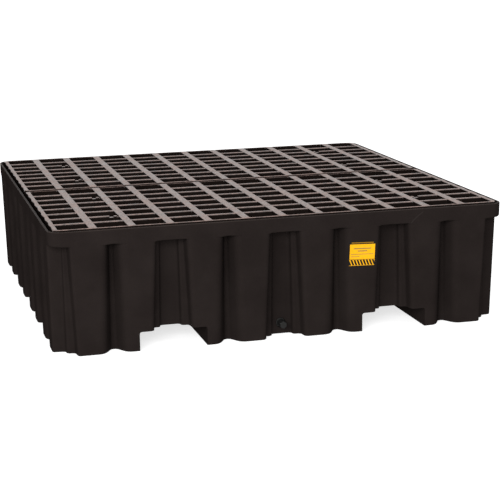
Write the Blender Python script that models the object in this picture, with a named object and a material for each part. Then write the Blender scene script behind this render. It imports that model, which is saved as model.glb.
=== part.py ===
"""Spill containment pallet for four drums.

A one-piece fluted sump tub with two fork tunnels and nine support posts carries two
lift-out deck gratings. A threaded plug and its seal close a flanged drain insert that is
moulded low into the middle flute of the front wall, and a hazard label sits on the front.
Metres, +Z up, front towards -Y, origin on the floor under the middle of the tub.
"""
import math

import bmesh
import bpy

# Tub
TUB_SIZE = 1.308
TUB_HEIGHT = 0.346
TUB_CORNER = 0.040
CORNER_STEPS = 5
WALL = 0.007
WALL_TAPER = 0.006
CUT_PAST = 0.020

# Flutes: every side has nine at one pitch, the outermost two shared by the corners
FLUTE_PITCH = 0.1605
FLUTE_TOP = 0.304
NARROW_DEPTH = 0.048
NARROW_MOUTH = (0.0305, 0.0195)
NARROW_BACK = 0.22
WIDE_MOUTH = (0.056, 0.043)
WIDE_LEAN = 0.004
SHOULDER_DEPTH = 0.040
GROOVE_DEPTH = 0.059
GROOVE_HALF = (0.031, 0.0265)
GROOVE_LEAN = 0.002

# Fork tunnels run from front to back under the outer wide flutes
TUNNEL_X = 2 * FLUTE_PITCH
TUNNEL_WIDTH = 0.190
TUNNEL_HEIGHT = 0.054
TUNNEL_CHAMFER = 0.007

# Support posts, moulded up from the floor and hollow from below
POST_PITCH = 2 * FLUTE_PITCH
POST_FOOT = 0.066
POST_HEAD = 0.050
POST_CHAMFER = 0.016
PAD_TOP = FLUTE_TOP + WALL

# Deck gratings
GAP = 0.0003
DECK_TOP = 0.349
GRATE_HALF_WIDTH = 0.6345
GRATE_DEPTH = 0.630
SEAM_GAP = 0.014
SLOT_COLUMNS = 12
COLUMN_PITCH = 0.106
CROSS_BAR = 0.022
SLOT_ROWS = 8
ROW_PITCH = 0.076
ROW_BAR = 0.012
EDGE_BAR = 0.009

# Drain, measured inwards from the groove face of the middle front flute
DRAIN_HEIGHT = 0.032
GROOVE_FACE = GROOVE_DEPTH - TUB_SIZE / 2
BOSS_RADIUS = 0.027
BOSS_END = 0.025
MOUTH_RADIUS = 0.0137
INSERT_START = 0.009
INSERT_RADIUS = 0.0169
INSERT_BORE = 0.0103
FLANGE_RADIUS = 0.0215
FLANGE_END = 0.0283
HEAD_FLATS = 0.019
HEAD_START = -0.029
COLLAR_START = 0.004
COLLAR_END = 0.006
COLLAR_RADIUS = 0.0129
THREAD_RADIUS = 0.0100
THREAD_END = 0.022
SEAL_SECTION = 0.0024
SEAL_RADIUS = 0.0116

# Round pieces on the drain's axis
ROUND_STEPS = 32
SEAL_STEPS = 24
SEAL_SECTION_STEPS = 8
HEAD_SIDES = 6
SHARP_ANGLE = 35

# Label
LABEL_WIDTH = 0.078
LABEL_HEIGHT = 0.071
LABEL_X = 0.2238
LABEL_Z = 0.228
LABEL_THICKNESS = 0.0006


def clear_scene():
    for item in list(bpy.data.objects):
        bpy.data.objects.remove(item, do_unlink=True)


def make_material(name, colour, roughness):
    material = bpy.data.materials.new(name)
    material.use_nodes = True
    shader = material.node_tree.nodes["Principled BSDF"]
    shader.inputs["Base Color"].default_value = (*colour, 1.0)
    shader.inputs["Roughness"].default_value = roughness
    shader.inputs["Metallic"].default_value = 0.0
    return material


def add_object(name, mesh, material=None):
    item = bpy.data.objects.new(name, mesh)
    bpy.context.scene.collection.objects.link(item)
    if material:
        mesh.materials.append(material)
    return item


def as_cutter(item):
    item.hide_render = True
    item.display_type = "WIRE"
    return item


def combine(target, cutter, operation="DIFFERENCE"):
    modifier = target.modifiers.new(cutter.name, "BOOLEAN")
    modifier.operation = operation
    modifier.object = cutter


def mesh_from(build, name):
    """Fill a new mesh with build(bm) and turn its faces outwards."""
    bm = bmesh.new()
    build(bm)
    bmesh.ops.recalc_face_normals(bm, faces=bm.faces)
    mesh = bpy.data.meshes.new(name)
    bm.to_mesh(mesh)
    bm.free()
    return mesh


def loft(bm, rings):
    """One closed body through rings of equal length, capped at both ends."""
    loops = [[bm.verts.new(point) for point in ring] for ring in rings]
    count = len(loops[0])
    for low, high in zip(loops, loops[1:]):
        for i in range(count):
            j = (i + 1) % count
            bm.faces.new((low[i], low[j], high[j], high[i]))
    bm.faces.new(loops[0])
    bm.faces.new(loops[-1])


def turn(point, quarter):
    """Turn a point about the Z axis by quarters of a turn."""
    x, y, z = point
    for _ in range(quarter):
        x, y = -y, x
    return x, y, z


# ---------------------------------------------------------------- tub outlines

def face_inset(z):
    """How far the tapered outer face stands behind the rim's outer plane."""
    return WALL_TAPER * (1 - z / TUB_HEIGHT)


def rounded_square(half, radius, z):
    points = []
    for corner in range(4):
        for step in range(CORNER_STEPS + 1):
            angle = math.pi / 2 * step / CORNER_STEPS
            x = half - radius + radius * math.cos(angle)
            y = half - radius + radius * math.sin(angle)
            points.append(turn((x, y, z), corner))
    return points


def at_height(pair, z):
    """Width at a height, for a width given at the floor and at the flute's top."""
    floor, top = pair
    return floor + (top - floor) * z / FLUTE_TOP


def narrow_profile(z):
    mouth = at_height(NARROW_MOUTH, z)
    back = NARROW_BACK * mouth
    face = face_inset(z)
    half = [(back, NARROW_DEPTH), (mouth, face), (mouth, -CUT_PAST)]
    return [(-u, v) for u, v in reversed(half)] + half


def wide_profile(z):
    mouth = at_height(WIDE_MOUTH, z)
    groove = at_height(GROOVE_HALF, z)
    half = [
        (groove - GROOVE_LEAN, GROOVE_DEPTH),
        (groove, SHOULDER_DEPTH),
        (mouth - WIDE_LEAN, SHOULDER_DEPTH),
        (mouth, face_inset(z)),
        (mouth, -CUT_PAST),
    ]
    return [(-u, v) for u, v in reversed(half)] + half


def grow(profile, distance):
    """Offset an open profile to the outside of the flute by a wall's thickness."""
    edges = []
    for (u0, v0), (u1, v1) in zip(profile, profile[1:]):
        length = math.hypot(u1 - u0, v1 - v0)
        shift_u = -(v1 - v0) / length * distance
        shift_v = (u1 - u0) / length * distance
        edges.append((u0 + shift_u, v0 + shift_v, u1 - u0, v1 - v0))
    first = edges[0]
    last = edges[-1]
    grown = [(first[0], first[1])]
    for (ax, ay, adx, ady), (bx, by, bdx, bdy) in zip(edges, edges[1:]):
        cross = adx * bdy - ady * bdx
        along = ((bx - ax) * bdy - (by - ay) * bdx) / cross
        grown.append((ax + along * adx, ay + along * ady))
    grown.append((last[0] + last[2], last[1] + last[3]))
    return grown


def flute_columns(wall, top):
    """Build function for the flutes of two opposite sides, grown by a wall."""
    def build(bm, quarters):
        for quarter in quarters:
            for index in range(-4, 5):
                profile = narrow_profile if index % 2 else wide_profile
                rings = []
                for z in (-CUT_PAST, top):
                    outline = grow(profile(z), wall) if wall else profile(z)
                    rings.append([
                        turn((index * FLUTE_PITCH + u, v - TUB_SIZE / 2, z), quarter)
                        for u, v in outline
                    ])
                loft(bm, rings)
    return build


def add_flutes(name, wall, top, quarters):
    build = flute_columns(wall, top)
    mesh = mesh_from(lambda bm: build(bm, quarters), name)
    return as_cutter(add_object(name, mesh))


# ---------------------------------------------------------------- tub inside

def add_tunnels(name, wall):
    """Two front-to-back prisms: the tunnels, or the floor that rises over them."""
    half = TUNNEL_WIDTH / 2 + wall
    top = TUNNEL_HEIGHT + wall
    section = [
        (-half, -CUT_PAST), (half, -CUT_PAST), (half, top - TUNNEL_CHAMFER),
        (half - TUNNEL_CHAMFER, top), (TUNNEL_CHAMFER - half, top),
        (-half, top - TUNNEL_CHAMFER),
    ]

    def build(bm):
        for x in (-TUNNEL_X, TUNNEL_X):
            rings = [[(x + u, y, z) for u, z in section] for y in (-TUB_SIZE, TUB_SIZE)]
            loft(bm, rings)
    return as_cutter(add_object(name, mesh_from(build, name)))


def post_ring(x, y, half, chamfer, z):
    points = []
    for corner in range(4):
        for u, v in ((half, half - chamfer), (half - chamfer, half)):
            turned = turn((u, v, z), corner)
            points.append((x + turned[0], y + turned[1], z))
    return points


def add_posts(name, wall):
    """Nine tapered posts: their outsides, or their hollows one wall smaller."""
    top = PAD_TOP - wall
    lean = (POST_FOOT - POST_HEAD) / PAD_TOP

    def build(bm):
        for column in (-1, 0, 1):
            for row in (-1, 0, 1):
                rings = []
                for z in (-CUT_PAST, top):
                    half = POST_FOOT - lean * z - wall
                    rings.append(post_ring(column * POST_PITCH, row * POST_PITCH,
                                           half, POST_CHAMFER, z))
                loft(bm, rings)
    return as_cutter(add_object(name, mesh_from(build, name)))


def turned_body(bm, profile, steps=ROUND_STEPS):
    """Turn (depth, radius) points about the drain's axis into one closed body."""
    rings = []
    for step in range(steps):
        angle = 2 * math.pi * step / steps
        ring = []
        for depth, radius in profile:
            ring.append(bm.verts.new((
                radius * math.cos(angle),
                GROOVE_FACE + depth,
                DRAIN_HEIGHT + radius * math.sin(angle),
            )))
        rings.append(ring)
    count = len(profile)
    for step in range(steps):
        here = rings[step]
        following = rings[(step + 1) % steps]
        for i in range(count):
            j = (i + 1) % count
            bm.faces.new((here[i], here[j], following[j], following[i]))


def stepped_rod(bm, sections, steps=ROUND_STEPS):
    """A solid rod on the drain's axis through (depth, radius) sections."""
    rings = []
    for depth, radius in sections:
        rings.append([
            (radius * math.cos(2 * math.pi * step / steps),
             GROOVE_FACE + depth,
             DRAIN_HEIGHT + radius * math.sin(2 * math.pi * step / steps))
            for step in range(steps)
        ])
    loft(bm, rings)


def add_disc(name, start, end, radius):
    mesh = mesh_from(lambda bm: stepped_rod(bm, ((start, radius), (end, radius))), name)
    return as_cutter(add_object(name, mesh))


def add_cavity():
    """The sump: the tub's inside less everything that stands up in it."""
    def build(bm):
        rings = []
        for z in (WALL, TUB_HEIGHT + CUT_PAST):
            half = TUB_SIZE / 2 - face_inset(z) - WALL
            rings.append(rounded_square(half, TUB_CORNER - WALL, z))
        loft(bm, rings)
    cavity = as_cutter(add_object("sump_cavity", mesh_from(build, "sump_cavity")))
    combine(cavity, add_flutes("flute_backs_front_rear", WALL, PAD_TOP, (0, 2)))
    combine(cavity, add_flutes("flute_backs_sides", WALL, PAD_TOP, (1, 3)))
    combine(cavity, add_tunnels("tunnel_roofs", WALL))
    combine(cavity, add_posts("post_outsides", 0))
    combine(cavity, add_disc("drain_boss", 0, BOSS_END, BOSS_RADIUS))
    return cavity


def add_tub(material):
    def build(bm):
        rings = []
        for z in (0, TUB_HEIGHT):
            rings.append(rounded_square(TUB_SIZE / 2 - face_inset(z), TUB_CORNER, z))
        loft(bm, rings)
    tub = add_object("sump_tub", mesh_from(build, "sump_tub"), material)
    combine(tub, add_flutes("flutes_front_rear", 0, FLUTE_TOP, (0, 2)))
    combine(tub, add_flutes("flutes_sides", 0, FLUTE_TOP, (1, 3)))
    combine(tub, add_cavity())
    combine(tub, add_tunnels("fork_tunnels", 0))
    combine(tub, add_posts("post_hollows", WALL))
    combine(tub, add_disc("drain_mouth", -CUT_PAST, INSERT_START, MOUTH_RADIUS))
    combine(tub, add_disc("insert_pocket", INSERT_START - GAP, BOSS_END + CUT_PAST,
                          INSERT_RADIUS + GAP))
    return tub


# ---------------------------------------------------------------- gratings

def grate_lines_x():
    """Edges of the border, the slots and the cross bars, from left to right."""
    lines = [-GRATE_HALF_WIDTH]
    for column in range(SLOT_COLUMNS):
        left = (column - SLOT_COLUMNS / 2) * COLUMN_PITCH
        lines.append(left + CROSS_BAR / 2)
        lines.append(left + COLUMN_PITCH - CROSS_BAR / 2)
    lines.append(GRATE_HALF_WIDTH)
    return lines


def grate_lines_y():
    """Edges of the edge bars, the slots and the row bars, from front to back."""
    middle = GRATE_DEPTH / 2
    lines = [0, EDGE_BAR]
    for bar in range(SLOT_ROWS - 1):
        centre = middle + (bar - (SLOT_ROWS - 2) / 2) * ROW_PITCH
        lines.append(centre - ROW_BAR / 2)
        lines.append(centre + ROW_BAR / 2)
    lines += [GRATE_DEPTH - EDGE_BAR, GRATE_DEPTH]
    return lines


def grate_body(bm, front):
    """A slab of square cells, left open where both cell numbers are odd."""
    xs = grate_lines_x()
    ys = [front + y for y in grate_lines_y()]
    levels = (PAD_TOP + GAP, DECK_TOP)
    corners = {}

    def corner(i, j, level):
        if (i, j, level) not in corners:
            corners[i, j, level] = bm.verts.new((xs[i], ys[j], levels[level]))
        return corners[i, j, level]

    def is_solid(i, j):
        inside = 0 <= i < len(xs) - 1 and 0 <= j < len(ys) - 1
        return inside and not (i % 2 and j % 2)

    for i in range(len(xs) - 1):
        for j in range(len(ys) - 1):
            if not is_solid(i, j):
                continue
            for level in (0, 1):
                bm.faces.new([corner(i + a, j + b, level)
                              for a, b in ((0, 0), (1, 0), (1, 1), (0, 1))])
            sides = (
                ((i, j - 1), (i, j), (i + 1, j)),
                ((i + 1, j), (i + 1, j), (i + 1, j + 1)),
                ((i, j + 1), (i + 1, j + 1), (i, j + 1)),
                ((i - 1, j), (i, j + 1), (i, j)),
            )
            for beside, first, second in sides:
                if not is_solid(*beside):
                    bm.faces.new((corner(*first, 0), corner(*second, 0),
                                  corner(*second, 1), corner(*first, 1)))


def add_grate(name, front, material):
    return add_object(name, mesh_from(lambda bm: grate_body(bm, front), name), material)


# ---------------------------------------------------------------- drain and label

def add_insert(material):
    profile = [
        (INSERT_START, INSERT_BORE), (INSERT_START, INSERT_RADIUS),
        (BOSS_END + GAP, INSERT_RADIUS), (BOSS_END + GAP, FLANGE_RADIUS),
        (FLANGE_END, FLANGE_RADIUS), (FLANGE_END, INSERT_BORE),
    ]
    mesh = mesh_from(lambda bm: turned_body(bm, profile), "drain_insert")
    return add_object("drain_insert", mesh, material)


def add_seal(material):
    middle = INSERT_START - GAP - SEAL_SECTION / 2
    profile = []
    for step in range(SEAL_SECTION_STEPS):
        angle = 2 * math.pi * step / SEAL_SECTION_STEPS
        profile.append((middle + SEAL_SECTION / 2 * math.cos(angle),
                        SEAL_RADIUS + SEAL_SECTION / 2 * math.sin(angle)))
    mesh = mesh_from(lambda bm: turned_body(bm, profile, SEAL_STEPS), "plug_seal")
    return move_origin_to_axis(add_object("plug_seal", mesh, material))


def move_origin_to_axis(item):
    """Put a piece's origin on the drain's axis without moving the piece."""
    item.location = (0, GROOVE_FACE, DRAIN_HEIGHT)
    for vertex in item.data.vertices:
        vertex.co.y -= GROOVE_FACE
        vertex.co.z -= DRAIN_HEIGHT
    return item


def add_plug(material):
    stem = (
        (COLLAR_START, COLLAR_RADIUS), (COLLAR_END, COLLAR_RADIUS),
        (COLLAR_END, THREAD_RADIUS), (THREAD_END, THREAD_RADIUS),
    )
    head_radius = HEAD_FLATS / 2 / math.cos(math.pi / HEAD_SIDES)
    head_end = (COLLAR_START + COLLAR_END) / 2
    head_ends = ((HEAD_START, head_radius), (head_end, head_radius))
    plug = add_object("drain_plug", mesh_from(lambda bm: stepped_rod(bm, stem), "drain_plug"),
                      material)
    head_mesh = mesh_from(lambda bm: stepped_rod(bm, head_ends, HEAD_SIDES), "plug_head")
    head = as_cutter(add_object("plug_head", head_mesh))
    combine(plug, head, "UNION")
    move_origin_to_axis(head)
    return move_origin_to_axis(plug)


def add_label(material):
    """A thin plate lying along the tapered front face, one gap off it."""
    rings = []
    for stand_off in (GAP, GAP + LABEL_THICKNESS):
        ring = []
        for u, w in ((-1, -1), (1, -1), (1, 1), (-1, 1)):
            z = LABEL_Z + w * LABEL_HEIGHT / 2
            ring.append((LABEL_X + u * LABEL_WIDTH / 2,
                         face_inset(z) - TUB_SIZE / 2 - stand_off, z))
        rings.append(ring)
    mesh = mesh_from(lambda bm: loft(bm, rings), "hazard_label")
    return add_object("hazard_label", mesh, material)


def shade_round(item):
    item.data.shade_smooth()
    item.data.set_sharp_from_angle(angle=math.radians(SHARP_ANGLE))


def main():
    clear_scene()
    tub_plastic = make_material("tub_plastic", (0.019, 0.015, 0.014), 0.45)
    deck_plastic = make_material("deck_plastic", (0.030, 0.024, 0.023), 0.50)
    insert_plastic = make_material("insert_plastic", (0.022, 0.021, 0.020), 0.40)
    plug_plastic = make_material("plug_plastic", (0.060, 0.062, 0.060), 0.42)
    seal_rubber = make_material("seal_rubber", (0.010, 0.010, 0.010), 0.70)
    label_film = make_material("label_film", (0.900, 0.480, 0.010), 0.40)
    add_tub(tub_plastic)
    add_grate("front_grate", -SEAM_GAP / 2 - GRATE_DEPTH, deck_plastic)
    add_grate("rear_grate", SEAM_GAP / 2, deck_plastic)
    for item in (add_insert(insert_plastic), add_seal(seal_rubber), add_plug(plug_plastic)):
        shade_round(item)
    add_label(label_film)


main()
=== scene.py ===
import math

import bmesh
import bpy
import numpy as np
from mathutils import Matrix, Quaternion, Vector


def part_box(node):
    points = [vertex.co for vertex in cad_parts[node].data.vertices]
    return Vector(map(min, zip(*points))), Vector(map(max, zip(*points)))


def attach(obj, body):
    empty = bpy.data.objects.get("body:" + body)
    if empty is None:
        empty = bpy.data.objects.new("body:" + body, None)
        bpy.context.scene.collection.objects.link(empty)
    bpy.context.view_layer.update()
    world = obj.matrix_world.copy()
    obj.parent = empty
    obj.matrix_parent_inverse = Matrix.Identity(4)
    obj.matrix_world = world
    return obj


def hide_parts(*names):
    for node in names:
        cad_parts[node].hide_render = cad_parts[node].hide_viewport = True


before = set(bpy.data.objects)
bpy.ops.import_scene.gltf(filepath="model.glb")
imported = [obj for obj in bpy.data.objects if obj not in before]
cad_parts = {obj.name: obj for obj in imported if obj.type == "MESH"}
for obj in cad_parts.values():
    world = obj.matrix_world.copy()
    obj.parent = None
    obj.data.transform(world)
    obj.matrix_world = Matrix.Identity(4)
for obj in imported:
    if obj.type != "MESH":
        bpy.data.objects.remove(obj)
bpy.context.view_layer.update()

# Driving sizes read from the frame
_, TUB_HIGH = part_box("sump_tub")
HALF = TUB_HIGH.x
TUB_HEIGHT = TUB_HIGH.z
GRATE_LOW, GRATE_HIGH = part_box("front_grate")
LABEL_LOW, LABEL_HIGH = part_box("hazard_label")

# Tub, as the CAD has it; a pair is a half width at the floor and at the top of the flutes
CORNER = 0.040
WALL = 0.007
WALL_TAPER = 0.006
FLUTE_PITCH = 0.1605
FLUTE_TOP = 0.304
PAD_TOP = FLUTE_TOP + WALL
NARROW_DEPTH = 0.048
NARROW_MOUTH = (0.0305, 0.0195)
NARROW_BACK = 0.22
WIDE_MOUTH = (0.056, 0.043)
WIDE_LEAN = 0.004
SHOULDER_DEPTH = 0.040
GROOVE_DEPTH = 0.059
GROOVE_HALF = (0.031, 0.0265)
GROOVE_LEAN = 0.002
NOTCH_POLE = 0.575

# Roundings of the moulding: an edge by its reach along each side, a round by its radius
NARROW_EDGE = 0.018
NARROW_CORE = 0.010
WIDE_EDGE = 0.013
WIDE_INNER = 0.009
NOTCH_EDGE = 0.008
INSIDE_EDGE = 0.006
FILLET_STEPS = 4
FOOT_ROUND = 0.0025
RIM_ROUND = 0.0025
CEILING_ROUND = 0.006

# Heights of the rings between the rounded ends
OUTER_LEVELS = (0.075, 0.15, 0.225)
INNER_LEVELS = (WALL, 0.15)
BAND_LEVEL = 0.328
# Share of the rim's rounding on the inside, so that a narrow flat stays on top
INNER_FLARE = 0.98

# Fork tunnels, posts and drain
TUNNEL_X = 2 * FLUTE_PITCH
TUNNEL_WIDTH = 0.190
TUNNEL_HEIGHT = 0.054
TUNNEL_ROUND = 0.007
TUNNEL_FOOT_ROUND = 0.001
TUNNEL_REACH = 1.0
POST_PITCH = 2 * FLUTE_PITCH
POST_FOOT = 0.066
POST_HEAD = 0.050
POST_ROUND = 0.018
POST_TOP_ROUND = 0.006
DRAIN_HEIGHT = 0.032
GROOVE_FACE = GROOVE_DEPTH - HALF
BOSS_RADIUS = 0.027
BOSS_END = 0.025
BOSS_CHAMFER = 0.002
MOUTH_RADIUS = 0.0137
MOUTH_FLARE = 0.0012
MOUTH_LIP = (0.0002, 0.0015)
INSERT_START = 0.009
INSERT_RADIUS = 0.0169
GAP = 0.0003

# Deck gratings: columns of slots between cross bars, and lower bars between the rows
COLUMNS = 12
COLUMN_PITCH = 0.106
CROSS_BAR = 0.022
ROWS = 8
ROW_PITCH = 0.076
ROW_BAR = 0.012
EDGE_BAR = 0.009
SLOT_CORNER = 0.005
SLOT_CLEAR = 0.001
BAR_ROUND = 0.0034
BAR_ANGLES = (0, 22, 42, 58, 72, 82)
CROSS_ROUND = 0.0014
CROSS_ANGLES = (0, 40, 78)
BAR_DROP = 0.0008
PANEL_ROUND = 0.016
PANEL_FOOT_ROUND = 0.0015
PANEL_SIDE_EDGE = 0.0016
PANEL_END_EDGE = 0.0085
PANEL_DROP = 0.0050
BORDER_SWELL = 0.0045
SCALLOP = 0.0026
SCALLOP_PIECES = 96
SCALLOP_FADE = 12

# How far a cutter reaches past what it cuts
PAST = 0.020

# Sunk strips over the columns of slots, as (spread, height over the top)
POCKET_END = 0.02
POCKET_CORNER = 0.004
POCKET_SECTIONS = ((0.0002, -BAR_DROP), (0.0014, 0.0002), (0.0014, PAST))

# Moulding marks on some bars: (column, side of it), then (spread or radius, height over the top)
MARK_COLUMNS = ((1, 1), (10, -1))
MARK_BARS = (1, 5)
DIP_LENGTH = 0.024
DIP_OVERLAP = 0.0004
DIP_HALF = 0.008
DIP_CORNER = 0.003
DIP_SECTIONS = ((0, -0.0052), (0.001, -0.0042), (0.001, PAST))
NUB_BACK = 0.0075
NUB_STEPS = 24
NUB_SECTIONS = ((0.0052, -0.02), (0.0052, -0.0030), (0.0047, -0.0020), (0.0036, -0.0015))
SLIT_HALF = 0.0125
SLIT_CORNER = 0.0005
SLIT_SECTIONS = ((0.0010, -0.0016), (0.0018, 0.0001), (0.0018, PAST))

# Deck faces that point up by less than this get the darker side copy of the plastic as painted
# shade, the rest the top copy with its painted sheen; more is asked near the ends, so the rounded
# end bars split into a painted light strip and painted shade
TOP_FACING = 0.30
END_FACING = 0.80

# Tub faces above this height that point up get a paler copy of the tub plastic, a painted
# highlight along the rim top
RIM_START = 0.3425
RIM_FACING = 0.5


# ---------------------------------------------------------------- mesh tools

def new_object(name, vertices, faces):
    mesh = bpy.data.meshes.new(name)
    mesh.from_pydata([tuple(v) for v in vertices], [], faces)
    mesh.validate()
    item = bpy.data.objects.new(name, mesh)
    bpy.context.scene.collection.objects.link(item)
    return item


def grid_faces(rows, count):
    """Quads between closed rings of equal count, and a cap at each end."""
    faces = []
    for row in range(rows - 1):
        for i in range(count):
            j = (i + 1) % count
            faces.append((row * count + i, row * count + j,
                          (row + 1) * count + j, (row + 1) * count + i))
    faces.append(tuple(reversed(range(count))))
    faces.append(tuple((rows - 1) * count + i for i in range(count)))
    return faces


def loft(name, rings):
    """One closed body through counter-clockwise rings, from the bottom up."""
    rings = np.array(rings)
    return new_object(name, rings.reshape(-1, 3), grid_faces(len(rings), rings.shape[1]))


def lofts(name, bodies):
    """Several separate lofted bodies in one object."""
    vertices = []
    faces = []
    for rings in bodies:
        rings = np.array(rings)
        start = len(vertices)
        vertices.extend(rings.reshape(-1, 3))
        for face in grid_faces(len(rings), rings.shape[1]):
            faces.append(tuple(start + i for i in face))
    return new_object(name, vertices, faces)


def boolean(target, cutter, operation="DIFFERENCE"):
    """Apply a Boolean and drop the cutter."""
    modifier = target.modifiers.new("cut", "BOOLEAN")
    modifier.operation = operation
    modifier.solver = "MANIFOLD"
    modifier.object = cutter
    bpy.context.view_layer.update()
    graph = bpy.context.evaluated_depsgraph_get()
    mesh = bpy.data.meshes.new_from_object(target.evaluated_get(graph))
    target.modifiers.clear()
    target.data = mesh
    bpy.data.objects.remove(cutter, do_unlink=True)


def face_outwards(item):
    """Turn every face of a closed body to the outside."""
    work = bmesh.new()
    work.from_mesh(item.data)
    bmesh.ops.recalc_face_normals(work, faces=work.faces)
    work.to_mesh(item.data)
    work.free()


def finish_shading(item, angle=35):
    """Smooth curved stretches, crisp cut edges, flat faces kept flat."""
    item.data.shade_smooth()
    item.data.set_sharp_from_angle(angle=math.radians(angle))
    modifier = item.modifiers.new("flat_faces", "WEIGHTED_NORMAL")
    modifier.keep_sharp = True


def rounded_corners(path, steps=FILLET_STEPS):
    """Round every (x, y, reach) corner of a closed path over that reach along each side."""
    points = np.array([(x, y) for x, y, _ in path])
    reaches = [reach for _, _, reach in path]
    before = np.roll(points, 1, 0) - points
    after = np.roll(points, -1, 0) - points
    rounded = []
    for point, reach, back, ahead in zip(points, reaches, before, after):
        length_back = np.hypot(*back)
        length_ahead = np.hypot(*ahead)
        reach = min(reach, 0.48 * length_back, 0.48 * length_ahead)
        start = point + back / length_back * reach
        end = point + ahead / length_ahead * reach
        for step in range(steps + 1):
            t = step / steps
            rounded.append((1 - t) ** 2 * start + 2 * t * (1 - t) * point + t * t * end)
    return np.array(rounded)


def outward(ring):
    """Unit plan normals of a counter-clockwise ring."""
    along = np.roll(ring, -1, 0) - np.roll(ring, 1, 0)
    normal = np.stack([along[:, 1], -along[:, 0]], 1)
    return normal / np.linalg.norm(normal, axis=1)[:, None]


def turned(points, quarter):
    """Plan points turned about the middle by quarters of a turn."""
    points = np.array(points)
    for _ in range(quarter):
        points = np.stack([-points[:, 1], points[:, 0]], 1)
    return points


def with_height(ring, z):
    """A plan ring laid at one height."""
    return np.column_stack([ring, np.full(len(ring), z)])


def rectangle(x0, x1, y0, y1, reach, steps=3):
    """A counter-clockwise rectangle with rounded corners."""
    return rounded_corners([(x0, y0, reach), (x1, y0, reach),
                            (x1, y1, reach), (x0, y1, reach)], steps)


# ---------------------------------------------------------------- tub

def face_inset(z):
    """How far the tapered face stands behind the rim's plane."""
    return WALL_TAPER * (1 - min(max(z, 0), TUB_HEIGHT) / TUB_HEIGHT)


def at_height(pair, z):
    """A size that runs from its floor value to its value at the top of the flutes."""
    floor, top = pair
    return floor + (top - floor) * min(max(z, 0), FLUTE_TOP) / FLUTE_TOP


def flute_half(index, z):
    """One flute's plan corners from its middle outwards: (along, depth, rounding)."""
    if index % 2:
        mouth = at_height(NARROW_MOUTH, z)
        return [
            (NARROW_BACK * mouth, NARROW_DEPTH, NARROW_CORE),
            (mouth, face_inset(z), NARROW_EDGE),
        ]
    mouth = at_height(WIDE_MOUTH, z)
    groove = at_height(GROOVE_HALF, z)
    return [
        (groove - GROOVE_LEAN, GROOVE_DEPTH, WIDE_INNER),
        (groove, SHOULDER_DEPTH, WIDE_INNER),
        (mouth - WIDE_LEAN, SHOULDER_DEPTH, WIDE_INNER),
        (mouth, face_inset(z), WIDE_EDGE),
    ]


def side_path(z):
    """Plan corners of the front side, from the left corner notch to just before the right."""
    post = 4 * FLUTE_PITCH - at_height(GROOVE_HALF, z)
    notch = [(along, depth, NOTCH_EDGE) for along, depth, _ in flute_half(4, z)[2:]]
    path = [(-post, HALF - post, NOTCH_EDGE)]
    path += [(along - 4 * FLUTE_PITCH, depth, reach) for along, depth, reach in notch]
    for index in range(-3, 4):
        half = flute_half(index, z)
        middle = index * FLUTE_PITCH
        path += [(middle - along, depth, reach) for along, depth, reach in reversed(half)]
        path += [(middle + along, depth, reach) for along, depth, reach in half]
    path += [(4 * FLUTE_PITCH - along, depth, reach) for along, depth, reach in reversed(notch)]
    return path


def fluted_path(z):
    """Plan corners of the whole fluted wall."""
    path = []
    side = side_path(z)
    for quarter in range(4):
        plan = turned([(along, depth - HALF) for along, depth, _ in side], quarter)
        path += [(x, y, reach) for (x, y), (_, _, reach) in zip(plan, side)]
    return path


def moved_in(path, distance):
    """A closed path moved towards the inside with mitred corners, with its own rounding."""
    points = np.array([(x, y) for x, y, _ in path])
    ahead = np.roll(points, -1, 0) - points
    ahead /= np.linalg.norm(ahead, axis=1)[:, None]
    inward = np.stack([-ahead[:, 1], ahead[:, 0]], 1)
    before = np.roll(inward, 1, 0)
    share = 1 + (before * inward).sum(1)
    moved = points + distance * (before + inward) / share[:, None]
    return [(x, y, INSIDE_EDGE) for x, y in moved]


def on_rounded_square(ring, half, radius):
    """Where each point of a fluted ring lands on the plain rounded square around it."""
    landed = []
    centre = half - radius
    for x, y in ring:
        u, v = abs(x), abs(y)
        if min(u, v) <= NOTCH_POLE:
            across = (u, half) if v > u else (half, v)
        else:
            du, dv = u - NOTCH_POLE, v - NOTCH_POLE
            reach = (half - NOTCH_POLE) / max(du, dv)
            across = (NOTCH_POLE + du * reach, NOTCH_POLE + dv * reach)
            if min(across) > centre:
                length = math.hypot(du, dv)
                du, dv = du / length, dv / length
                along = (centre - NOTCH_POLE) * (du + dv)
                off = 2 * (centre - NOTCH_POLE) ** 2 - along ** 2
                reach = along + math.sqrt(radius ** 2 - off)
                across = (NOTCH_POLE + du * reach, NOTCH_POLE + dv * reach)
        landed.append((math.copysign(across[0], x), math.copysign(across[1], y)))
    return np.array(landed)


# Share of the way from the flutes out to the plain band, and the height, around a ledge
LEDGE = ((0.0, -1.0), (0.02, -0.45), (0.07, -0.15), (0.16, -0.03), (0.5, 0.0),
         (0.84, 0.03), (0.93, 0.15), (0.98, 0.45), (1.0, 1.0))


def quarter_round(radius, steps=4):
    """(inset, rise) pairs of a quarter round, from its flat end to its upright end."""
    pairs = []
    for step in range(steps + 1):
        angle = math.pi / 2 * step / steps
        pairs.append((radius * (1 - math.sin(angle)), radius * (1 - math.cos(angle))))
    return pairs


def outer_skin():
    """The fluted wall, the ledge over it and the plain rim band."""
    rings = []

    def fluted(z):
        return rounded_corners(fluted_path(z))

    def band(z, inset=0.0):
        return on_rounded_square(fluted(FLUTE_TOP), HALF - face_inset(z) - inset,
                                 CORNER - inset)

    for inset, rise in quarter_round(FOOT_ROUND):
        ring = fluted(rise)
        rings.append(with_height(ring - outward(ring) * inset, rise))
    for z in OUTER_LEVELS:
        rings.append(with_height(fluted(z), z))
    for share, lift in LEDGE:
        z = FLUTE_TOP + lift * CEILING_ROUND
        rings.append(with_height((1 - share) * fluted(z) + share * band(z), z))
    rings.append(with_height(band(BAND_LEVEL), BAND_LEVEL))
    for inset, rise in reversed(quarter_round(RIM_ROUND)):
        z = TUB_HEIGHT - rise
        rings.append(with_height(band(z, inset), z))
    return loft("tub_shell", rings)


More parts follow.
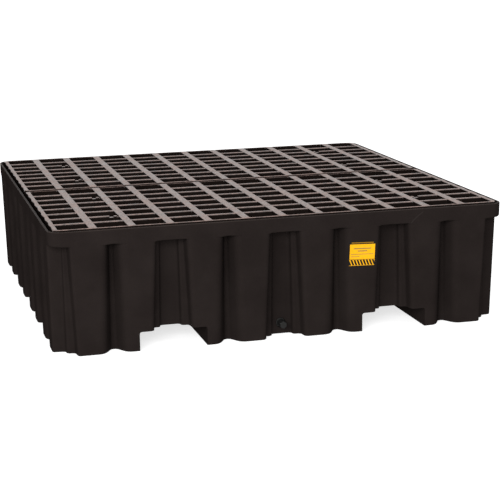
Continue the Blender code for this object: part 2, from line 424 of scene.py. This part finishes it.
def inner_skin():
    """The sump's own shape, one wall inside the outer skin and open at the top."""
    rings = []

    def fluted(z):
        return rounded_corners(moved_in(fluted_path(z), WALL))

    def band(z, flare=0.0):
        return on_rounded_square(fluted(FLUTE_TOP), HALF - face_inset(z) - WALL + flare,
                                 CORNER - WALL + flare)

    for z in INNER_LEVELS:
        rings.append(with_height(fluted(z), z))
    for share, lift in LEDGE:
        z = PAD_TOP - CEILING_ROUND / 2 + lift * CEILING_ROUND / 2
        rings.append(with_height((1 - share) * fluted(z) + share * band(z), z))
    for flare, drop in reversed(quarter_round(RIM_ROUND)):
        rings.append(with_height(band(TUB_HEIGHT, flare * INNER_FLARE), TUB_HEIGHT - drop))
    rings.append(with_height(band(TUB_HEIGHT, RIM_ROUND * INNER_FLARE), TUB_HEIGHT + PAST))
    return loft("sump_space", rings)


def tunnels(wall):
    """Two front-to-back tunnels, or with a wall the roofs over them."""
    half = TUNNEL_WIDTH / 2 + wall
    top = TUNNEL_HEIGHT + wall
    section = rounded_corners([(-half, -PAST, TUNNEL_FOOT_ROUND), (half, -PAST, TUNNEL_FOOT_ROUND),
                               (half, top, TUNNEL_ROUND), (-half, top, TUNNEL_ROUND)])
    bodies = []
    for x in (-TUNNEL_X, TUNNEL_X):
        bodies.append([[(x + u, y, z) for u, z in section]
                       for y in (TUNNEL_REACH, -TUNNEL_REACH)])
    return lofts("tunnels", bodies)


def posts(wall):
    """The nine posts, or with a wall their hollows."""
    top = PAD_TOP - wall
    lean = (POST_FOOT - POST_HEAD) / PAD_TOP
    bodies = []
    for column in (-1, 0, 1):
        for row in (-1, 0, 1):
            x, y = column * POST_PITCH, row * POST_PITCH
            rings = []
            levels = [(0.0, -PAST)]
            levels += [(inset, top - rise)
                       for inset, rise in reversed(quarter_round(POST_TOP_ROUND))]
            for inset, z in levels:
                half = POST_FOOT - lean * z - wall - inset
                ring = rectangle(x - half, x + half, y - half, y + half, POST_ROUND, 5)
                rings.append(with_height(ring, z))
            bodies.append(rings)
    return lofts("posts", bodies)


def rod(sections, steps=64):
    """A round solid on the drain's axis through (depth, radius) sections, front to back."""
    rings = []
    for depth, radius in sections:
        ring = []
        for step in range(steps):
            angle = 2 * math.pi * step / steps
            ring.append((radius * math.cos(angle), GROOVE_FACE + depth,
                         DRAIN_HEIGHT + radius * math.sin(angle)))
        rings.append(ring)
    return loft("rod", rings[::-1])


def make_tub():
    """Skins, tunnels with their roofs, hollow posts, the drain boss and its stepped bore."""
    tub = outer_skin()
    space = inner_skin()
    boolean(space, tunnels(WALL))
    boolean(space, posts(0))
    boolean(space, rod([(0, BOSS_RADIUS), (BOSS_END - BOSS_CHAMFER, BOSS_RADIUS),
                        (BOSS_END, BOSS_RADIUS - BOSS_CHAMFER)]))
    boolean(tub, space)
    boolean(tub, tunnels(0))
    boolean(tub, posts(WALL))
    flared = MOUTH_RADIUS + MOUTH_FLARE
    boolean(tub, rod([(-PAST, flared), (MOUTH_LIP[0], flared),
                      (MOUTH_LIP[1], MOUTH_RADIUS), (INSERT_START, MOUTH_RADIUS)]))
    boolean(tub, rod([(INSERT_START - GAP, INSERT_RADIUS + GAP),
                      (BOSS_END + PAST, INSERT_RADIUS + GAP)]))
    tub.name = "tub_shell"
    finish_shading(tub)
    return tub


# ---------------------------------------------------------------- deck gratings

def bar_lines(front):
    """Near and far edges of the eight rows of slots."""
    middle = front + (GRATE_HIGH.y - GRATE_LOW.y) / 2
    near = [front + EDGE_BAR]
    far = []
    for bar in range(ROWS - 1):
        centre = middle + (bar - (ROWS - 2) / 2) * ROW_PITCH
        far.append(centre - ROW_BAR / 2)
        near.append(centre + ROW_BAR / 2)
    far.append(front + (GRATE_HIGH.y - GRATE_LOW.y) - EDGE_BAR)
    return list(zip(near, far))


def column_ends(column):
    """Left and right edges of one column of slots."""
    left = (column - COLUMNS / 2) * COLUMN_PITCH
    return left + CROSS_BAR / 2, left + COLUMN_PITCH - CROSS_BAR / 2


def panel_outline(front, side=0.0, end=0.0):
    """The panel's edge: round corners, and side edges that swell at every bar."""
    half = GRATE_HIGH.x + BORDER_SWELL
    depth = GRATE_HIGH.y - GRATE_LOW.y
    middle = front + depth / 2
    outline = [(x, y) for x, y in rectangle(-half + side, half - side,
                                            front + end, front + depth - end, PANEL_ROUND, 6)]
    dense = []
    for here, following in zip(outline, outline[1:] + outline[:1]):
        along_side = abs(here[1] - following[1]) > depth / 2
        pieces = SCALLOP_PIECES if along_side else 1
        for piece in range(pieces):
            t = piece / pieces
            x = here[0] + (following[0] - here[0]) * t
            y = here[1] + (following[1] - here[1]) * t
            if along_side:
                swell = 0.5 - 0.5 * math.cos(2 * math.pi * (y - middle) / ROW_PITCH)
                fade = min(1, t * SCALLOP_FADE, (1 - t) * SCALLOP_FADE)
                x -= math.copysign(SCALLOP * swell * fade, x)
            dense.append((x, y))
    return np.array(dense)


def slot_rings(x0, x1, y0, y1):
    """One slot's space, opening out over rounded bar tops."""
    top = GRATE_HIGH.z
    bar_start = top - BAR_DROP - BAR_ROUND
    cross_start = top - CROSS_ROUND
    levels = [GRATE_LOW.z - PAST, top + SLOT_CLEAR]
    levels += [bar_start + BAR_ROUND * math.sin(math.radians(a)) for a in BAR_ANGLES]
    levels += [cross_start + CROSS_ROUND * math.sin(math.radians(a)) for a in CROSS_ANGLES]

    def spread(z, start, radius, limit):
        height = min(max(z - start, 0), radius * math.sin(math.radians(limit)))
        return radius - math.sqrt(radius ** 2 - height ** 2)

    rings = []
    for z in sorted(levels):
        bar = spread(z, bar_start, BAR_ROUND, BAR_ANGLES[-1])
        cross = spread(z, cross_start, CROSS_ROUND, CROSS_ANGLES[-1])
        ring = rectangle(x0 - cross, x1 + cross, y0 - bar, y1 + bar, SLOT_CORNER)
        rings.append(with_height(ring, z))
    return rings


def sections(x0, x1, y0, y1, corner, levels, along=1):
    """Rectangles that spread with height; with along=0 they spread in y only."""
    top = GRATE_HIGH.z
    return [with_height(rectangle(x0 - g * along, x1 + g * along, y0 - g, y1 + g, corner), top + z)
            for g, z in levels]


def bar_marks(rows):
    """Small dips with a round nub in each, and a slit between them, on the marked bars."""
    hollows = []
    nubs = []
    for bar in MARK_BARS:
        y = (rows[bar][1] + rows[bar + 1][0]) / 2
        for column, side in MARK_COLUMNS:
            end = column_ends(column)[(side + 1) // 2]
            near, far = sorted((end - side * DIP_LENGTH, end + side * DIP_OVERLAP))
            hollows.append(sections(near, far, y - DIP_HALF, y + DIP_HALF, DIP_CORNER,
                                    DIP_SECTIONS))
            x = end - side * NUB_BACK
            turns = [2 * math.pi * i / NUB_STEPS for i in range(NUB_STEPS)]
            nubs.append([[(x + radius * math.cos(turn), y + radius * math.sin(turn),
                           GRATE_HIGH.z + lift) for turn in turns]
                         for radius, lift in NUB_SECTIONS])
        hollows.append(sections(-SLIT_HALF, SLIT_HALF, y, y, SLIT_CORNER, SLIT_SECTIONS, 0))
    return hollows, nubs


def make_deck(name, front):
    """One grating: a rounded panel, sunk strips, slots with rounded bars, and small marks."""
    top = GRATE_HIGH.z
    rings = [with_height(panel_outline(front, PANEL_FOOT_ROUND, PANEL_FOOT_ROUND), GRATE_LOW.z),
             with_height(panel_outline(front), GRATE_LOW.z + PANEL_FOOT_ROUND)]
    for inset, rise in reversed(quarter_round(1.0, 6)):
        outline = panel_outline(front, inset * PANEL_SIDE_EDGE, inset * PANEL_END_EDGE)
        rings.append(with_height(outline, top - rise * PANEL_DROP))
    deck = loft(name, rings)
    rows = bar_lines(front)
    slots = []
    pockets = []
    for column in range(COLUMNS):
        x0, x1 = column_ends(column)
        slots += [slot_rings(x0, x1, y0, y1) for y0, y1 in rows]
        pockets.append(sections(x0, x1, rows[0][1] - POCKET_END, rows[-1][0] + POCKET_END,
                                POCKET_CORNER, POCKET_SECTIONS))
    boolean(deck, lofts("pockets", pockets))
    boolean(deck, lofts("slots", slots))
    hollows, nubs = bar_marks(rows)
    boolean(deck, lofts("hollows", hollows))
    boolean(deck, lofts("nubs", nubs), "UNION")
    deck.name = name
    finish_shading(deck, 40)
    return deck


# ---------------------------------------------------------------- drain pieces

# Depths are measured from the face of the groove into the wall
HEAD_START = -0.029
HEAD_FLATS = 0.019
HEAD_END = 0.0036
COLLAR_ROWS = ((0.0040, 0.0122), (0.0043, 0.0127), (0.0048, 0.0129), (0.0056, 0.0129),
               (0.0060, 0.0125), (0.0060, 0.0102))
THREAD_PITCH = 0.002
THREAD_CREST = 0.0100
THREAD_ROOT = 0.0091
THREAD_SPAN = (0.0062, 0.0216)
THREAD_FADE = (0.001, 0.002)
THREAD_ROWS = 69
THREAD_STEP = 0.00022
TIP_END = 0.0220
TIP_CHAMFER = 0.0006
FLANGE_RADIUS = 0.0215
FLANGE_END = 0.0283
FLANGE_CHAMFER = 0.0008
BORE_ROOT = 0.0103
BORE_CUT = 0.0005
BORE_ROWS = 73
BORE_STEP = 0.00025
SEAL_SECTION = 0.0012
SEAL_RADIUS = 0.0116
SEAL_STEPS = 20
ROUND_STEPS = 72


def thread_wave(depth, angle):
    """0 at the root and 1 at the crest of a right-hand thread."""
    phase = (depth / THREAD_PITCH + angle / (2 * math.pi)) % 1
    return min(1, max(0, 1.6 * (1 - abs(2 * phase - 1)) - 0.3))


def revolved(name, rows, radius_at, closed_loop):
    """A body around the drain's axis whose radius may change with the angle."""
    vertices = []
    for row, depth in enumerate(rows):
        for step in range(ROUND_STEPS):
            angle = 2 * math.pi * step / ROUND_STEPS
            radius = radius_at(row, depth, angle)
            vertices.append((radius * math.cos(angle), GROOVE_FACE + depth,
                             DRAIN_HEIGHT + radius * math.sin(angle)))
    faces = []
    count = len(rows)
    for row in range(count if closed_loop else count - 1):
        following = (row + 1) % count
        for i in range(ROUND_STEPS):
            j = (i + 1) % ROUND_STEPS
            faces.append((row * ROUND_STEPS + i, following * ROUND_STEPS + i,
                          following * ROUND_STEPS + j, row * ROUND_STEPS + j))
    if not closed_loop:
        faces.append(tuple(range(ROUND_STEPS)))
        faces.append(tuple((count - 1) * ROUND_STEPS + i for i in reversed(range(ROUND_STEPS))))
    item = new_object(name, vertices, faces)
    face_outwards(item)
    return item


def make_plug():
    """A hexagonal head, a round collar and a thread; a row without a radius is thread."""
    flats = HEAD_FLATS / 2
    corner = flats / math.cos(math.pi / 6)
    uncut = corner + 1
    head = [(HEAD_START, flats - 0.0014), (HEAD_START + 0.0002, flats - 0.0006),
            (HEAD_START + 0.0016, corner + 0.0002), (HEAD_START + 0.0026, uncut),
            (HEAD_END, uncut)]
    turns = [(THREAD_SPAN[0] + THREAD_STEP * i, None) for i in range(THREAD_ROWS)]
    tip = [(THREAD_SPAN[1], THREAD_ROOT), (TIP_END, THREAD_ROOT - TIP_CHAMFER)]
    rows = head + list(COLLAR_ROWS) + turns + tip

    def radius_at(row, depth, angle):
        limit = rows[row][1]
        if row < len(head):
            turn = (angle + math.pi / 6) % (math.pi / 3) - math.pi / 6
            return min(limit, flats / math.cos(turn))
        if limit is not None:
            return limit
        fade = min(1, (depth - THREAD_SPAN[0]) / THREAD_FADE[0],
                   (THREAD_SPAN[1] - depth) / THREAD_FADE[1])
        wave = thread_wave(depth, angle)
        return THREAD_ROOT + (THREAD_CREST - THREAD_ROOT) * wave * max(fade, 0)

    plug = revolved("plug_head_and_thread", [depth for depth, _ in rows], radius_at, False)
    finish_shading(plug, 32)
    return plug


def make_insert():
    """A sleeve with an inner flange and a threaded bore; a row without a radius is thread."""
    start, end = INSERT_START, BOSS_END + GAP
    outline = [(start, 0.0108), (start, 0.0164), (start + 0.0005, INSERT_RADIUS),
               (end, INSERT_RADIUS), (end, FLANGE_RADIUS - 0.0006),
               (end + 0.0006, FLANGE_RADIUS), (FLANGE_END - FLANGE_CHAMFER, FLANGE_RADIUS),
               (FLANGE_END, FLANGE_RADIUS - FLANGE_CHAMFER), (FLANGE_END, 0.0110)]
    bore = [(FLANGE_END - 0.0006 - BORE_STEP * i, None) for i in range(BORE_ROWS)]
    rows = outline + bore

    def radius_at(row, depth, angle):
        radius = rows[row][1]
        if radius is not None:
            return radius
        return BORE_ROOT + BORE_CUT * (1 - thread_wave(depth, angle))

    insert = revolved("insert_sleeve", [depth for depth, _ in rows], radius_at, True)
    finish_shading(insert, 32)
    return insert


def make_seal():
    """A round ring that lies between the collar and the insert."""
    middle = INSERT_START - GAP - SEAL_SECTION
    around = [2 * math.pi * i / SEAL_STEPS for i in range(SEAL_STEPS)]
    depths = [middle + SEAL_SECTION * math.cos(a) for a in around]

    def radius_at(row, depth, angle):
        return SEAL_RADIUS + SEAL_SECTION * math.sin(around[row])

    seal = revolved("seal_ring", depths, radius_at, True)
    finish_shading(seal, 60)
    return seal


# ---------------------------------------------------------------- label

LABEL_TURN = math.radians(2.0)
LABEL_CORNER = 0.006
# (stand-off from the wall, inset of the edge), from the film's face to its back
LABEL_SECTIONS = ((0.0006 + GAP, 0.0003), (0.0004 + GAP, 0.0), (GAP, 0.0))


def make_label():
    """A thin film with round corners along the tapered face, crowned a little at its edge."""
    x_middle = (LABEL_LOW.x + LABEL_HIGH.x) / 2
    z_middle = (LABEL_LOW.z + LABEL_HIGH.z) / 2
    half_width = (LABEL_HIGH.x - LABEL_LOW.x) / 2
    half_height = (LABEL_HIGH.z - LABEL_LOW.z) / 2
    cosine, sine = math.cos(LABEL_TURN), math.sin(LABEL_TURN)
    rings = []
    for stand_off, inset in LABEL_SECTIONS:
        ring = []
        for u, w in rectangle(-half_width + inset, half_width - inset,
                              -half_height + inset, half_height - inset, LABEL_CORNER, 6):
            u, w = u * cosine + w * sine, w * cosine - u * sine
            z = z_middle + w
            ring.append((x_middle + u, face_inset(z) - HALF - stand_off, z))
        rings.append(ring[::-1])
    label = loft("label_film", rings)
    face_outwards(label)
    finish_shading(label, 30)
    return label


# ---------------------------------------------------------------- materials

class Tree:
    """Short ways to add shader nodes to one material."""

    def __init__(self, name):
        self.material = bpy.data.materials.new(name)
        self.material.use_nodes = True
        self.nodes = self.material.node_tree.nodes
        self.links = self.material.node_tree.links
        self.shader = self.nodes["Principled BSDF"]
        self.place = self.nodes.new("ShaderNodeTexCoord").outputs["Object"]

    def put(self, socket, value):
        if isinstance(value, bpy.types.NodeSocket):
            self.links.new(value, socket)
        else:
            socket.default_value = value

    def math(self, operation, a, b=0.0):
        node = self.nodes.new("ShaderNodeMath")
        node.operation = operation
        self.put(node.inputs[0], a)
        self.put(node.inputs[1], b)
        return node.outputs[0]

    def noise(self, scale, detail=3.0, roughness=0.5, place=None):
        node = self.nodes.new("ShaderNodeTexNoise")
        self.put(node.inputs["Vector"], place or self.place)
        node.inputs["Scale"].default_value = scale
        node.inputs["Detail"].default_value = detail
        node.inputs["Roughness"].default_value = roughness
        return node.outputs["Fac"]

    def stretch(self, x, y, z):
        node = self.nodes.new("ShaderNodeMapping")
        self.put(node.inputs["Vector"], self.place)
        node.inputs["Scale"].default_value = (x, y, z)
        return node.outputs["Vector"]

    def ramp(self, value, low, high, start=0.0, end=1.0):
        node = self.nodes.new("ShaderNodeMapRange")
        node.clamp = True
        self.put(node.inputs["Value"], value)
        node.inputs["From Min"].default_value = low
        node.inputs["From Max"].default_value = high
        node.inputs["To Min"].default_value = start
        node.inputs["To Max"].default_value = end
        return node.outputs["Result"]

    def mix(self, share, a, b):
        node = self.nodes.new("ShaderNodeMix")
        node.data_type = "RGBA"
        self.put(node.inputs["Factor"], share)
        self.put(node.inputs["A"], a if isinstance(a, bpy.types.NodeSocket) else (*a, 1))
        self.put(node.inputs["B"], b if isinstance(b, bpy.types.NodeSocket) else (*b, 1))
        return node.outputs["Result"]

    def bump(self, height, strength, distance, after=None):
        node = self.nodes.new("ShaderNodeBump")
        node.inputs["Strength"].default_value = strength
        node.inputs["Distance"].default_value = distance
        self.put(node.inputs["Height"], height)
        if after:
            self.put(node.inputs["Normal"], after)
        return node.outputs["Normal"]

    def axes(self):
        node = self.nodes.new("ShaderNodeSeparateXYZ")
        self.put(node.inputs[0], self.place)
        return node.outputs

    def facing_up(self):
        geometry = self.nodes.new("ShaderNodeNewGeometry")
        split = self.nodes.new("ShaderNodeSeparateXYZ")
        self.put(split.inputs[0], geometry.outputs["Normal"])
        return split.outputs["Z"]


# name: dark and pale colour, roughness, specular level
PLASTICS = {
    "tub_plastic": ((0.0073, 0.0056, 0.0052), (0.0104, 0.0081, 0.0075), 0.62, 0.0),
    # rim top copy, paler than the tub plastic: a painted highlight
    "rim_top_highlight": ((0.0110, 0.0080, 0.0070), (0.0200, 0.0148, 0.0130), 0.55, 0.03),
    # deck side copy, darker than the tub plastic: painted shade on the bar sides and in the slots
    "deck_side_shade": ((0.0038, 0.0026, 0.0022), (0.0064, 0.0045, 0.0039), 0.60, 0.0),
    "insert_plastic": ((0.012, 0.011, 0.010), (0.02, 0.018, 0.017), 0.42, 0.4),
    "seal_rubber": ((0.006, 0.006, 0.006), (0.010, 0.010, 0.010), 0.75, 0.3),
    "plug_plastic": ((0.0070, 0.0069, 0.0066), (0.0105, 0.0103, 0.0098), 0.50, 0.08),
}
# Deck top colours: the plain plastic, and the paler colour painted on faces that look up as a
# painted sheen
DECK_PLAIN = (0.006, 0.0045, 0.004)
DECK_SHEEN = (0.150, 0.100, 0.085)


def moulded_plastic(name):
    """Dark moulded plastic: mottled colour, fine grain, slow waves, faint handling marks."""
    dark, pale, roughness, level = PLASTICS[name]
    tree = Tree(name)
    mottle = tree.noise(9.0, 4.0, 0.55)
    speckle = tree.noise(420.0, 2.0, 0.5)
    marks = tree.noise(60.0, 2.0, 0.5, tree.stretch(0.35, 0.35, 3.0))
    share = tree.math("ADD", tree.ramp(mottle, 0.35, 0.68, 0.0, 0.7),
                      tree.ramp(speckle, 0.40, 0.70, 0.0, 0.3))
    tree.put(tree.shader.inputs["Base Color"], tree.mix(share, dark, pale))
    rough = tree.math("ADD", tree.ramp(mottle, 0.3, 0.7, roughness - 0.05, roughness + 0.05),
                      tree.ramp(marks, 0.58, 0.75, 0.0, -0.08))
    tree.put(tree.shader.inputs["Roughness"], rough)
    tree.shader.inputs["Specular IOR Level"].default_value = level
    slow = tree.bump(tree.noise(14.0, 1.0, 0.4), 0.12, 0.004)
    tree.put(tree.shader.inputs["Normal"], tree.bump(speckle, 0.25, 0.0004, slow))
    return tree


def deck_top(name):
    """The same plastic, scuffed dull, with a patchy painted sheen: paler base colour on the faces
    that look up.
    """
    tree = Tree(name)
    up = tree.ramp(tree.facing_up(), 0.25, 0.92)
    mottle = tree.noise(30.0, 5.0, 0.70)
    scuffs = tree.noise(120.0, 4.0, 0.65, tree.stretch(1.0, 0.5, 1.0))
    speckle = tree.noise(520.0, 2.0, 0.5)
    worn = tree.ramp(tree.math("ADD", mottle, scuffs), 0.88, 1.12, 0.40, 1.0)
    # Painted sheen: faces that look up are painted paler, patchy with the mottle and scuffs
    painted_sheen = tree.math("MULTIPLY", up, worn)
    tree.put(tree.shader.inputs["Base Color"],
             tree.mix(painted_sheen, DECK_PLAIN, DECK_SHEEN))
    tree.put(tree.shader.inputs["Roughness"], tree.ramp(mottle, 0.40, 0.60, 0.32, 0.50))
    tree.shader.inputs["Specular IOR Level"].default_value = 0.5
    coarse = tree.bump(scuffs, 0.18, 0.0006)
    tree.put(tree.shader.inputs["Normal"], tree.bump(speckle, 0.2, 0.0003, coarse))
    return tree.material


# One pale crease on the rim band: its ends as (x, z), how far it bends, and its half width
CREASE_FROM = (0.3694, 0.3059)
CREASE_TO = (0.4059, 0.3369)
CREASE_SAG = 0.0016
CREASE_WIDTH = 0.0013
CREASE_COLOUR = (0.0150, 0.0125, 0.0115)


def tub_plastic(name):
    """The tub's plastic, with one pale bent crease across the front of the rim band."""
    tree = moulded_plastic(name)
    x, y, z = tree.axes()
    start, end = Vector(CREASE_FROM), Vector(CREASE_TO)
    along = (end - start).normalized()
    length = (end - start).length

    def measured(direction, origin):
        offset = direction.dot(origin)
        return tree.math("SUBTRACT", tree.math("ADD", tree.math("MULTIPLY", x, direction.x),
                                               tree.math("MULTIPLY", z, direction.y)), offset)

    run = tree.math("DIVIDE", measured(along, start), length)
    bend = tree.math("MULTIPLY", tree.math("MULTIPLY", run, tree.math("SUBTRACT", 1.0, run)),
                     4 * CREASE_SAG)
    off = tree.math("SUBTRACT", measured(Vector((-along.y, along.x)), start), bend)
    line = tree.ramp(tree.math("ABSOLUTE", off), CREASE_WIDTH * 0.4, CREASE_WIDTH, 1.0, 0.0)
    ends = tree.ramp(tree.math("ABSOLUTE", tree.math("SUBTRACT", run, 0.5)), 0.44, 0.54, 1.0, 0.0)
    front = tree.math("LESS_THAN", y, 0.0)
    share = tree.math("MULTIPLY", tree.math("MULTIPLY", line, ends), front)
    plain = tree.shader.inputs["Base Color"].links[0].from_socket
    tree.put(tree.shader.inputs["Base Color"], tree.mix(share, plain, CREASE_COLOUR))
    return tree.material


# Label pattern, in shares of its width and height from the lower left: (left, right, low, high)
LABEL_INSIDE = (0.022, 0.978, 0.022, 0.978)
LABEL_RULES = ((0.16, 0.84, 0.690, 0.735), (0.32, 0.68, 0.590, 0.635),
               (0.07, 0.93, 0.470, 0.495), (0.07, 0.40, 0.375, 0.400))
HEADER_BAND = (0.885, 1.1)
HEADER_STRIP = (0.08, 0.92, 0.925, 0.965)
DIVIDER_BAND = (0.262, 0.278)
STRIPE_BAND = (0.035, 0.255)
STRIPES_ACROSS = 8.6
STRIPES_UP = 3.4
STRIPE_GAP = 0.34
LABEL_YELLOWS = ((0.46, 0.225, 0.0010), (0.42, 0.200, 0.0015))
RULE_COLOUR = (0.10, 0.07, 0.03)
INK_COLOUR = (0.004, 0.003, 0.002)


def label_film(name):
    """A yellow film with a plain header, plain rules and a row of slanted stripes."""
    tree = Tree(name)
    x, _, z = tree.axes()
    width = LABEL_HIGH.x - LABEL_LOW.x
    height = LABEL_HIGH.z - LABEL_LOW.z
    middle = (LABEL_LOW + LABEL_HIGH) / 2
    across = tree.math("DIVIDE", tree.math("SUBTRACT", x, middle.x), width)
    up = tree.math("DIVIDE", tree.math("SUBTRACT", z, middle.z), height)
    lean = math.sin(LABEL_TURN)
    u = tree.math("ADD", tree.math("SUBTRACT", across, tree.math("MULTIPLY", up, lean)), 0.5)
    w = tree.math("ADD", tree.math("ADD", up, tree.math("MULTIPLY", across, lean)), 0.5)

    def between(value, low, high):
        return tree.math("MULTIPLY", tree.math("GREATER_THAN", value, low),
                         tree.math("LESS_THAN", value, high))

    def patch(u0, u1, w0, w1):
        return tree.math("MULTIPLY", between(u, u0, u1), between(w, w0, w1))

    wear = tree.noise(90.0, 4.0, 0.6)
    yellow = tree.mix(tree.ramp(wear, 0.4, 0.7), *LABEL_YELLOWS)
    rules = patch(*LABEL_RULES[0])
    for rule in LABEL_RULES[1:]:
        rules = tree.math("MAXIMUM", rules, patch(*rule))
    colour = tree.mix(tree.math("MULTIPLY", rules, 0.85), yellow, RULE_COLOUR)
    stripes = tree.math("FRACT", tree.math("ADD", tree.math("MULTIPLY", u, STRIPES_ACROSS),
                                           tree.math("MULTIPLY", w, STRIPES_UP)))
    stripes = tree.math("MULTIPLY", tree.math("GREATER_THAN", stripes, STRIPE_GAP),
                        between(w, *STRIPE_BAND))
    header = tree.math("SUBTRACT", between(w, *HEADER_BAND),
                       tree.math("MULTIPLY", patch(*HEADER_STRIP), 0.30))
    border = tree.math("SUBTRACT", 1.0, patch(*LABEL_INSIDE))
    lines = tree.math("MAXIMUM", between(w, *DIVIDER_BAND), border)
    ink = tree.math("MAXIMUM", stripes, tree.math("MAXIMUM", header, lines))
    colour = tree.mix(ink, colour, INK_COLOUR)
    tree.put(tree.shader.inputs["Base Color"], colour)
    tree.put(tree.shader.inputs["Roughness"], tree.ramp(wear, 0.3, 0.7, 0.36, 0.50))
    tree.shader.inputs["Specular IOR Level"].default_value = 0.1
    tree.put(tree.shader.inputs["Normal"], tree.bump(wear, 0.1, 0.0002))
    return tree.material


# ---------------------------------------------------------------- stage

FLOOR_HALF = 60.0
CAMERA_AZIMUTH = -15.06
CAMERA_ELEVATION = 12.394
CAMERA_ROLL = -0.854
CAMERA_DISTANCE = 4.667
CAMERA_FOCUS = (0.0730, 0.0, 0.1134)
CAMERA_LENS = 104.18
CAMERA_SENSOR = 36.0
CAMERA_FAR = 500.0
SKY = 1.05
FLOOR_GLOW = 0.70
# name: (azimuth, elevation), distance, size, power; each looks at the middle of the base
LAMPS = {
    "soft_key": ((-25.0, 19.0), 6.5, (4.6, 2.6), 670.0),
    "soft_back": ((105.0, 35.0), 6.5, (3.5, 3.5), 160.0),
}


def towards(azimuth, elevation):
    """Unit vector from the object; azimuth 0 is straight in front, positive to the right."""
    azimuth, elevation = math.radians(azimuth), math.radians(elevation)
    return Vector((math.sin(azimuth) * math.cos(elevation),
                   -math.cos(azimuth) * math.cos(elevation), math.sin(elevation)))


def floor_finish(name):
    """A pale, plain floor that glows a little, so that it meets the background."""
    tree = Tree(name)
    cloud = tree.noise(1.5, 3.0, 0.5)
    tree.put(tree.shader.inputs["Base Color"],
             tree.mix(cloud, (0.40, 0.40, 0.40), (0.42, 0.42, 0.42)))
    tree.shader.inputs["Roughness"].default_value = 0.9
    tree.shader.inputs["Specular IOR Level"].default_value = 0.0
    tree.shader.inputs["Emission Color"].default_value = (1, 1, 1, 1)
    tree.shader.inputs["Emission Strength"].default_value = FLOOR_GLOW
    return tree.material


def make_stage():
    """The floor, the even light of the room and two soft lamps."""
    floor = new_object("floor", [(-FLOOR_HALF, -FLOOR_HALF, 0), (FLOOR_HALF, -FLOOR_HALF, 0),
                                 (FLOOR_HALF, FLOOR_HALF, 0), (-FLOOR_HALF, FLOOR_HALF, 0)],
                       [(0, 1, 2, 3)])
    floor.data.materials.append(floor_finish("floor_white"))

    world = bpy.data.worlds.new("studio")
    bpy.context.scene.world = world
    world.use_nodes = True
    background = world.node_tree.nodes["Background"]
    background.inputs["Color"].default_value = (1, 1, 1, 1)
    background.inputs["Strength"].default_value = SKY

    for name, (angles, distance, size, power) in LAMPS.items():
        light = bpy.data.lights.new(name, "AREA")
        light.shape = "RECTANGLE"
        light.size, light.size_y = size
        light.energy = power
        lamp = bpy.data.objects.new(name, light)
        bpy.context.scene.collection.objects.link(lamp)
        lamp.location = distance * towards(*angles)
        lamp.rotation_mode = "QUATERNION"
        lamp.rotation_quaternion = (-lamp.location).to_track_quat("-Z", "Y")


def make_camera():
    """The camera, straight through CAMERA_FOCUS and rolled about its own axis."""
    back = towards(CAMERA_AZIMUTH, CAMERA_ELEVATION)
    data = bpy.data.cameras.new("view")
    data.sensor_width = CAMERA_SENSOR
    data.lens = CAMERA_LENS
    data.clip_end = CAMERA_FAR
    camera = bpy.data.objects.new("view", data)
    bpy.context.scene.collection.objects.link(camera)
    camera.location = Vector(CAMERA_FOCUS) + back * CAMERA_DISTANCE
    camera.rotation_mode = "QUATERNION"
    roll = Quaternion((0, 0, 1), math.radians(CAMERA_ROLL))
    camera.rotation_quaternion = (-back).to_track_quat("-Z", "Y") @ roll
    bpy.context.scene.camera = camera


# ---------------------------------------------------------------- pieces

def place_piece(item, body, node, slot, *materials):
    """Give a piece its materials, and its body and node in the frame; the slot is not used."""
    item.data.materials.clear()
    for material in materials:
        item.data.materials.append(material)
    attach(item, body)
    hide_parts(node)


def main():
    bpy.context.scene.view_settings.view_transform = "Standard"
    make_camera()
    make_stage()
    tub = make_tub()
    place_piece(tub, "tub", "sump_tub", "tub_plastic", tub_plastic("tub_plastic"),
                moulded_plastic("rim_top_highlight").material)
    # Up-facing faces at the top of the rim get the paler copy: a painted highlight along the rim
    for face in tub.data.polygons:
        face.material_index = int(face.normal.z > RIM_FACING and face.center.z > RIM_START)
    top, side = deck_top("deck_top"), moulded_plastic("deck_side_shade").material
    for name in ("front_grate", "rear_grate"):
        low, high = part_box(name)
        panel = make_deck(name.replace("grate", "deck"), low.y)
        place_piece(panel, name, name, "deck_plastic", top, side)
        # Faces that look up get the top copy with its painted sheen, the rest the darker side copy
        # as painted shade
        for face in panel.data.polygons:
            from_end = min(face.center.y - low.y, high.y - face.center.y)
            limit = END_FACING if from_end < PANEL_END_EDGE else TOP_FACING
            face.material_index = int(face.normal.z < limit)
    place_piece(make_insert(), "tub", "drain_insert", "insert_plastic",
                moulded_plastic("insert_plastic").material)
    place_piece(make_seal(), "plug_seal", "plug_seal", "seal_rubber",
                moulded_plastic("seal_rubber").material)
    place_piece(make_plug(), "drain_plug", "drain_plug", "plug_plastic",
                moulded_plastic("plug_plastic").material)
    place_piece(make_label(), "tub", "hazard_label", "label_film", label_film("label_film"))


main()
